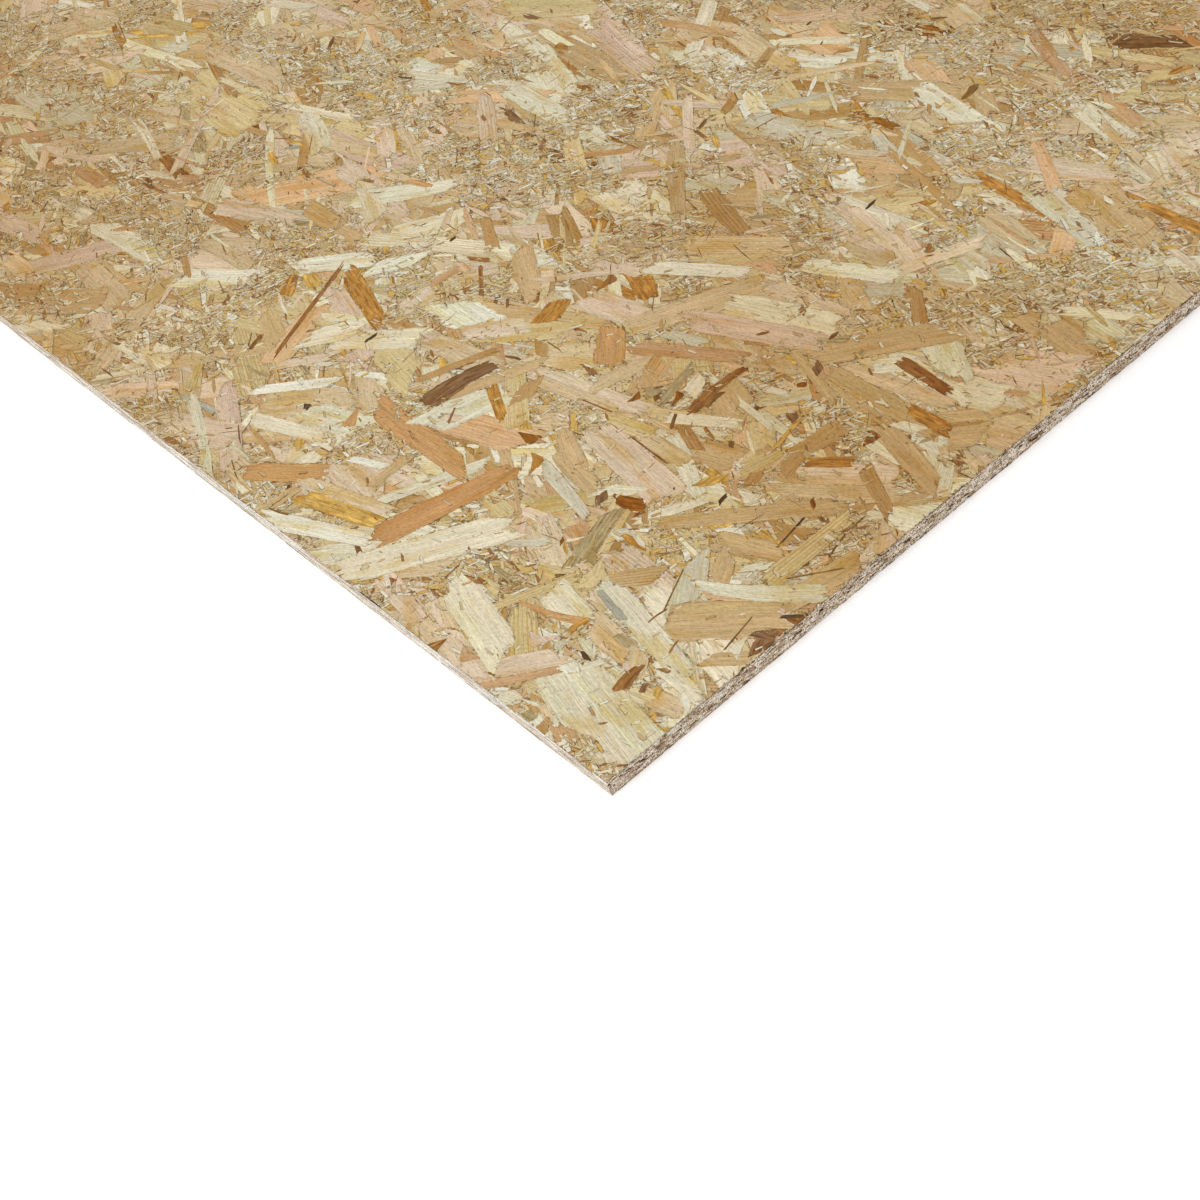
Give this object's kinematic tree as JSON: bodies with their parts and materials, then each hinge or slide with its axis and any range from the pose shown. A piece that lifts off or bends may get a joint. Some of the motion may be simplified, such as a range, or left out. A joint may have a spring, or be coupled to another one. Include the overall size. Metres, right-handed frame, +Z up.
{
  "type": "oriented strand board",
  "caption": "Full flat sheet of oriented strand board with bare, square-sawn edges: pale wood strands pressed into one panel, mostly lying along its length.",
  "frame": {"origin": "centre of the underside, on the floor that the sheet lies on", "axes": "+X along the sheet's length, the way most surface strands lie; +Y across its width; +Z up, through its thickness"},
  "size_m": [2.5, 1.25, 0.012],
  "materials": {
    "strand_board": "matte"
  },
  "bodies": {
    "root": {"board": "strand_board"}
  },
  "joints": []
}
